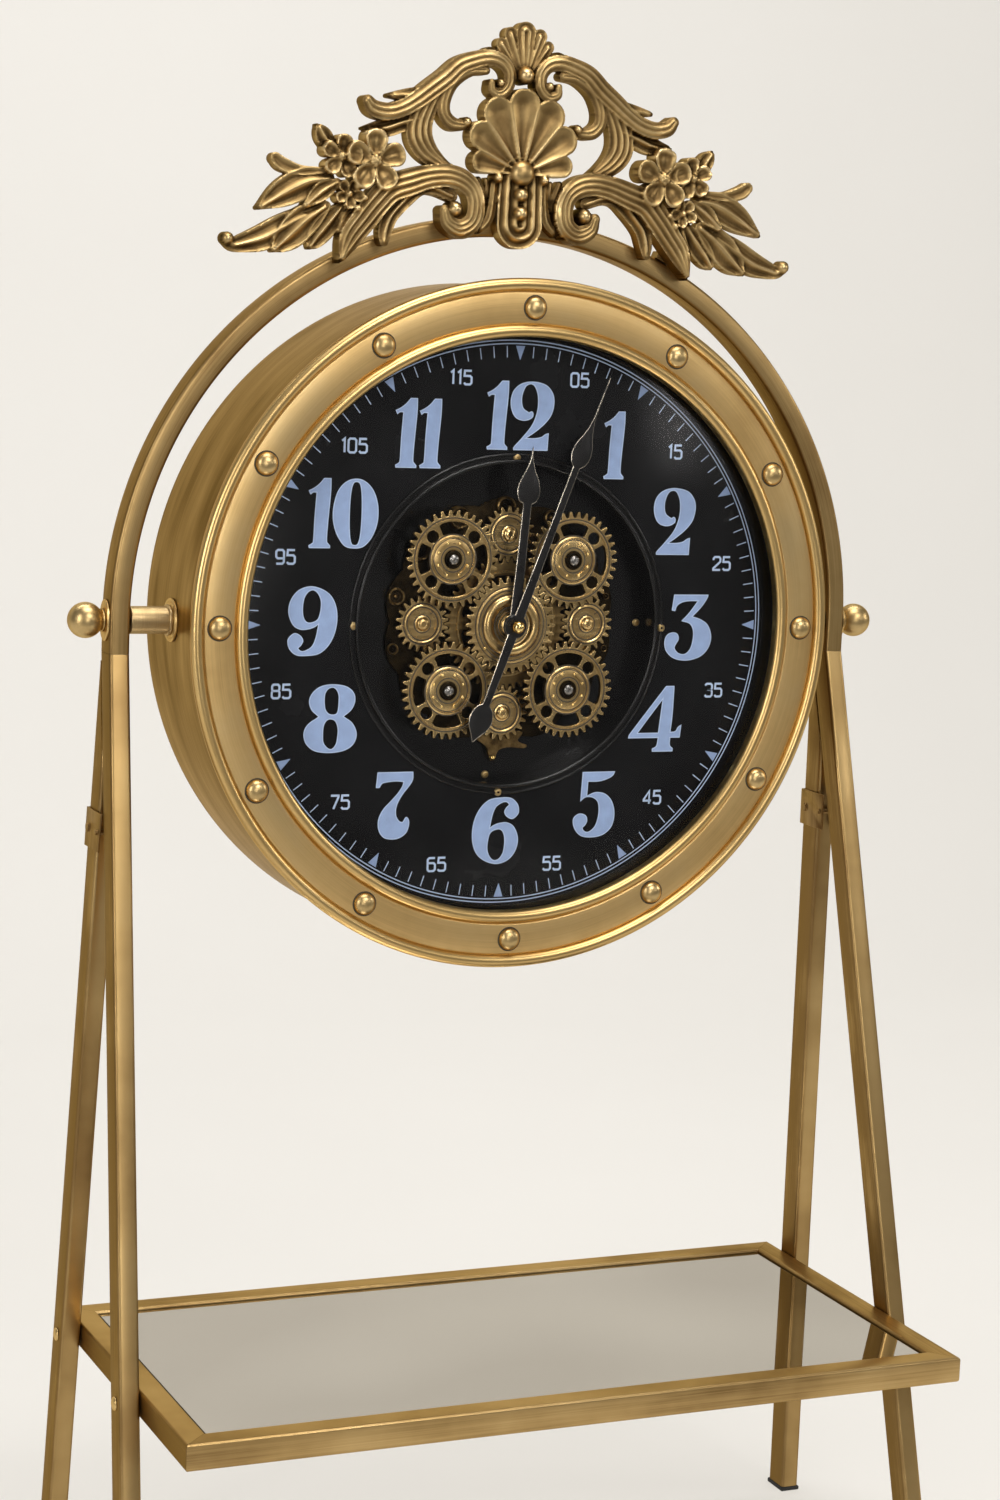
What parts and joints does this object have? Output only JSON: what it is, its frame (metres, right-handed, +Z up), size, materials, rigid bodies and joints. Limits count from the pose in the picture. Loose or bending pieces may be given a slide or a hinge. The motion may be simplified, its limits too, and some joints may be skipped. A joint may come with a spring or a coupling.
{
  "type": "floor gear clock",
  "caption": "Floor-standing gear clock: a round drum with open gears behind a numbered dial tilts in an arched tube stand with a cast crown and a mirrored shelf.",
  "frame": {"origin": "middle of the footprint, on the floor", "axes": "+Z up, -Y out of the dial, +X to the right as seen from the front"},
  "size_m": [0.7842, 0.371, 1.3985],
  "materials": {
    "brass": "brushed, warm antique",
    "crown_brass": "cast, patinated",
    "gear_brass": "satin, aged",
    "dark_bronze": "cast, dark bronze",
    "steel": "satin",
    "dial_black": "satin black",
    "hand_black": "gloss black",
    "back_steel": "dark bronze paint",
    "plastic": "matt black",
    "glass": "clear, domed",
    "mirror": "polished"
  },
  "bodies": {
    "stand": {"arch_tube": "brass", "crown_ornament": "crown_brass", "shelf_left_rail": "brass", "shelf_right_rail": "brass", "shelf_front_rail": "brass", "shelf_back_rail": "brass", "shelf_mirror": "mirror", "left_front_leg": "brass", "left_rear_leg": "brass", "left_leg_clip": "brass", "left_front_foot": "plastic", "left_rear_foot": "plastic", "left_front_shelf_bolt": "brass", "left_rear_shelf_bolt": "brass", "left_escutcheon": "brass", "right_front_leg": "brass", "right_rear_leg": "brass", "right_leg_clip": "brass", "right_front_foot": "plastic", "right_rear_foot": "plastic", "right_front_shelf_bolt": "brass", "right_rear_shelf_bolt": "brass", "right_escutcheon": "brass"},
    "drum": {"drum_shell": "brass", "bezel_ring": "brass", "glass_dome": "glass", "dial_plate": "dial_black", "gear_well": "dial_black", "back_cover": "back_steel", "gear_plate": "dark_bronze", "movement_case": "plastic", "battery": "steel", "gear_motor": "steel", "left_pivot_bolt": "steel", "left_pivot_flange": "brass", "left_pivot_sleeve": "brass", "right_pivot_bolt": "steel", "right_pivot_flange": "brass", "right_pivot_sleeve": "brass", "upper_left_stud": "steel", "upper_right_stud": "steel", "lower_left_stud": "steel", "lower_right_stud": "steel"},
    "left_knob": {"left_ball_knob": "brass"},
    "right_knob": {"right_ball_knob": "brass"},
    "gear_train": {"center_wheel": "gear_brass", "ring_gear": "gear_brass"},
    "minute_hand": {"minute_hand": "hand_black", "hand_nut": "brass"},
    "hour_hand": {"hour_hand": "hand_black"},
    "time_set_wheel": {"time_set_wheel": "plastic"},
    "access_door": {"access_door": "back_steel"},
    "upper_left_gear": {"upper_left_gear": "gear_brass"},
    "upper_right_gear": {"upper_right_gear": "gear_brass"},
    "lower_left_gear": {"lower_left_gear": "gear_brass"},
    "lower_right_gear": {"lower_right_gear": "gear_brass"},
    "top_small_gear": {"top_small_gear": "gear_brass"},
    "right_small_gear": {"right_small_gear": "gear_brass"},
    "bottom_small_gear": {"bottom_small_gear": "gear_brass"},
    "left_small_gear": {"left_small_gear": "gear_brass"}
  },
  "joints": [
    {"name": "drum_tilt", "type": "hinge", "parent": "stand", "child": "drum", "pos_m": [0, 0.1045, 0.88], "axis": [1, 0, 0], "continuous": true},
    {"name": "left_knob_turn", "type": "hinge", "parent": "drum", "child": "left_knob", "pos_m": [-0.377, 0.1045, 0.88], "axis": [1, 0, 0], "range_deg": [0, 180]},
    {"name": "right_knob_turn", "type": "hinge", "parent": "drum", "child": "right_knob", "pos_m": [0.377, 0.1045, 0.88], "axis": [1, 0, 0], "range_deg": [0, 180]},
    {"name": "gear_train_spin", "type": "hinge", "parent": "drum", "child": "gear_train", "pos_m": [0, 0.1045, 0.88], "axis": [0, 1, 0], "continuous": true},
    {"name": "upper_left_gear_spin", "type": "hinge", "parent": "drum", "child": "upper_left_gear", "pos_m": [-0.05819, 0.1045, 0.93819], "axis": [0, 1, 0], "continuous": true},
    {"name": "upper_right_gear_spin", "type": "hinge", "parent": "drum", "child": "upper_right_gear", "pos_m": [0.05819, 0.1045, 0.93819], "axis": [0, 1, 0], "continuous": true},
    {"name": "lower_left_gear_spin", "type": "hinge", "parent": "drum", "child": "lower_left_gear", "pos_m": [-0.05819, 0.1045, 0.82181], "axis": [0, 1, 0], "continuous": true},
    {"name": "lower_right_gear_spin", "type": "hinge", "parent": "drum", "child": "lower_right_gear", "pos_m": [0.05819, 0.1045, 0.82181], "axis": [0, 1, 0], "continuous": true},
    {"name": "top_small_gear_spin", "type": "hinge", "parent": "drum", "child": "top_small_gear", "pos_m": [0, 0.1045, 0.96], "axis": [0, 1, 0], "continuous": true},
    {"name": "right_small_gear_spin", "type": "hinge", "parent": "drum", "child": "right_small_gear", "pos_m": [0.08, 0.1045, 0.88], "axis": [0, 1, 0], "continuous": true},
    {"name": "bottom_small_gear_spin", "type": "hinge", "parent": "drum", "child": "bottom_small_gear", "pos_m": [0, 0.1045, 0.8], "axis": [0, 1, 0], "continuous": true},
    {"name": "left_small_gear_spin", "type": "hinge", "parent": "drum", "child": "left_small_gear", "pos_m": [-0.08, 0.1045, 0.88], "axis": [0, 1, 0], "continuous": true},
    {"name": "minute_hand_turn", "type": "hinge", "parent": "drum", "child": "minute_hand", "pos_m": [0, 0.1045, 0.88], "axis": [0, 1, 0], "continuous": true},
    {"name": "hour_hand_turn", "type": "hinge", "parent": "drum", "child": "hour_hand", "pos_m": [0, 0.1045, 0.88], "axis": [0, 1, 0], "continuous": true},
    {"name": "time_set_turn", "type": "hinge", "parent": "drum", "child": "time_set_wheel", "pos_m": [0, 0.1045, 0.8995], "axis": [0, 1, 0], "continuous": true},
    {"name": "access_door_swing", "type": "hinge", "parent": "drum", "child": "access_door", "pos_m": [-0.068, 0.1806, 0.88], "axis": [0, 0, 1], "range_deg": [0, 120]}
  ],
  "couplings": [
    {"joint": "upper_left_gear_spin", "follows": "gear_train_spin", "ratio": -1},
    {"joint": "upper_right_gear_spin", "follows": "gear_train_spin", "ratio": -1},
    {"joint": "lower_left_gear_spin", "follows": "gear_train_spin", "ratio": -1},
    {"joint": "lower_right_gear_spin", "follows": "gear_train_spin", "ratio": -1},
    {"joint": "top_small_gear_spin", "follows": "gear_train_spin", "ratio": -2.5},
    {"joint": "right_small_gear_spin", "follows": "gear_train_spin", "ratio": -2.5},
    {"joint": "bottom_small_gear_spin", "follows": "gear_train_spin", "ratio": -2.5},
    {"joint": "left_small_gear_spin", "follows": "gear_train_spin", "ratio": -2.5},
    {"joint": "hour_hand_turn", "follows": "minute_hand_turn", "ratio": 0.083333},
    {"joint": "time_set_turn", "follows": "minute_hand_turn", "ratio": -1}
  ]
}
